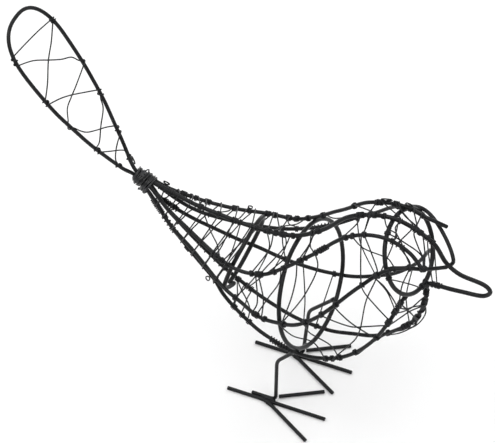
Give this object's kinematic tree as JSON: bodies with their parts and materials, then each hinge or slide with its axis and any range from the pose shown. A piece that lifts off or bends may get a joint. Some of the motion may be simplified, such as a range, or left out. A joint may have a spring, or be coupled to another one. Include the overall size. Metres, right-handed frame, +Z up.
{
  "type": "wire bird statue",
  "caption": "Standing bird bent from black iron wire: ribs over oval hoops form an open body, with a laced loop tail, a wire beak and feet of straight rod.",
  "frame": {"origin": "on the floor, under the middle of the bounding box", "axes": "+X from the tail to the beak, +Y to the bird's left, +Z up"},
  "size_m": [0.3206, 0.1018, 0.2615],
  "materials": {
    "body_wire": "semi-gloss black lacquer",
    "lacing_wire": "semi-gloss black lacquer on thin wire"
  },
  "bodies": {
    "root": {"spine_and_beak": "body_wire", "belly_wire": "body_wire", "rear_hoop": "body_wire", "chest_hoop": "body_wire", "head_hoop": "body_wire", "upper_rib_left": "body_wire", "upper_rib_right": "body_wire", "middle_rib_left": "body_wire", "middle_rib_right": "body_wire", "lower_rib_left": "body_wire", "lower_rib_right": "body_wire", "body_lacing": "lacing_wire", "tail_loop": "body_wire", "tail_binding": "lacing_wire", "tail_lacing_upper": "lacing_wire", "tail_lacing_under": "lacing_wire", "leg_left": "body_wire", "foot_rod_of_left_leg": "body_wire", "right_toe_of_left_leg": "body_wire", "left_toe_of_left_leg": "body_wire", "leg_right": "body_wire", "foot_rod_of_right_leg": "body_wire", "right_toe_of_right_leg": "body_wire", "left_toe_of_right_leg": "body_wire"}
  },
  "joints": []
}
